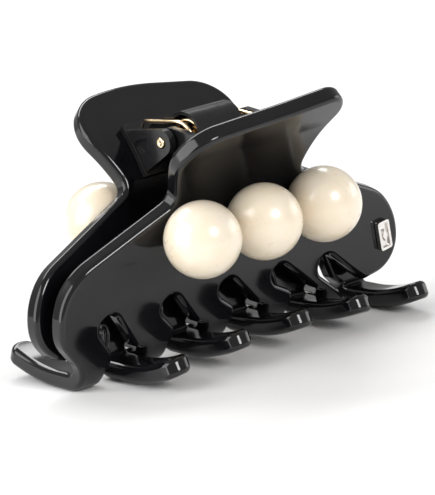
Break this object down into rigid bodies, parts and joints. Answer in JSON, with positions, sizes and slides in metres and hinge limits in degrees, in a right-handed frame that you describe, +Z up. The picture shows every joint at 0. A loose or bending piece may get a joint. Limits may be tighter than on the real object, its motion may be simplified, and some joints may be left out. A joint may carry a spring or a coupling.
{
  "type": "claw clip",
  "caption": "Jaw hair clip: two bent acetate jaws with interlocking fingers on a sprung hinge, and a row of pearls on each jaw.",
  "frame": {"origin": "on the ground under the middle of the clip", "axes": "+X along the clip, +Z up through the handles, the front jaw towards -Y"},
  "size_m": [0.0836, 0.0418, 0.0475],
  "materials": {
    "acetate": "polished black cellulose acetate sheet",
    "hinge_plastic": "satin moulded plastic",
    "gold_wire": "pale gold plated, bright drawn",
    "pearl": "ivory pearlescent coating",
    "peg_steel": "plain",
    "silver": "polished silver plated casting"
  },
  "bodies": {
    "rear_half": {"rear_jaw": "acetate", "hinge_leaf_rear": "hinge_plastic", "hinge_pin": "gold_wire", "torsion_spring": "gold_wire", "pearl_rear_1": "pearl", "pearl_rear_2": "pearl", "pearl_rear_3": "pearl", "pearl_peg_rear_1": "peg_steel", "pearl_peg_rear_2": "peg_steel", "pearl_peg_rear_3": "peg_steel"},
    "front_half": {"front_jaw": "acetate", "hinge_leaf_front": "hinge_plastic", "badge_plate": "silver", "pearl_front_1": "pearl", "pearl_front_2": "pearl", "pearl_front_3": "pearl", "pearl_peg_front_1": "peg_steel", "pearl_peg_front_2": "peg_steel", "pearl_peg_front_3": "peg_steel"}
  },
  "joints": [
    {"name": "jaw_hinge", "type": "hinge", "parent": "rear_half", "child": "front_half", "pos_m": [0, 0, 0.04], "axis": [-1, 0, 0], "range_deg": [0, 55], "stiffness_Nm_per_rad": 0.15, "springref_deg": -34.38, "deforming": ["torsion_spring"]}
  ]
}
